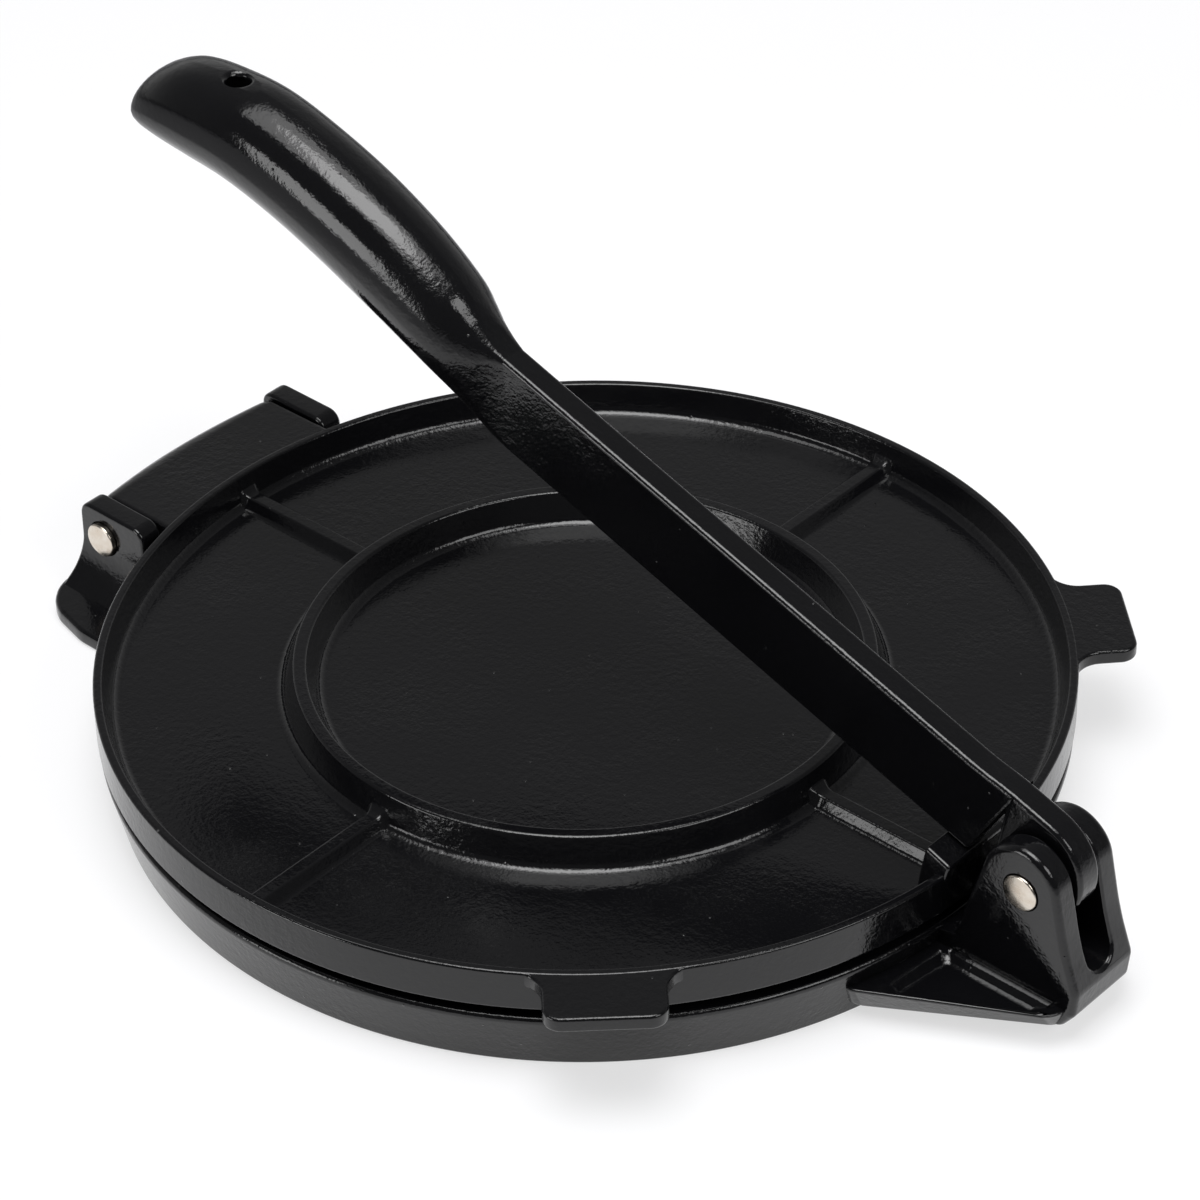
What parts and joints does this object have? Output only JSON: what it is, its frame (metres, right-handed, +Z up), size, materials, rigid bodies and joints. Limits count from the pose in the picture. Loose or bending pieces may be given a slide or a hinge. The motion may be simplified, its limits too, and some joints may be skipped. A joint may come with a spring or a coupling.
{
  "type": "tortilla press",
  "caption": "Cast hand press for flattening dough: hinged round plates, pinned lever with a handle, lifting tabs and a hanging hole.",
  "frame": {"origin": "middle of the object's box in plan, on the surface that it stands on", "axes": "+Z up, +X from the hinge to the lever's clevis, +Y along the hinge pin"},
  "size_m": [0.2618, 0.208, 0.128],
  "materials": {
    "enamel": "gloss black enamel over sand-cast aluminium",
    "nickel": "bright nickel-plated steel"
  },
  "bodies": {
    "base": {"lower_plate": "enamel", "hinge_pin": "nickel", "lever_pin": "nickel"},
    "upper": {"upper_plate": "enamel"},
    "arm": {"lever": "enamel"}
  },
  "joints": [
    {"name": "lever_pivot", "type": "hinge", "parent": "base", "child": "arm", "pos_m": [0.11618, 0, 0.0325], "axis": [0, 1, 0], "range_deg": [0, 160]},
    {"name": "plate_hinge", "type": "hinge", "parent": "base", "child": "upper", "pos_m": [-0.12072, 0, 0.0173], "axis": [0, -1, 0], "range_deg": [0, 14]}
  ],
  "couplings": [
    {"joint": "plate_hinge", "follows": "lever_pivot", "ratio": 0.085}
  ]
}
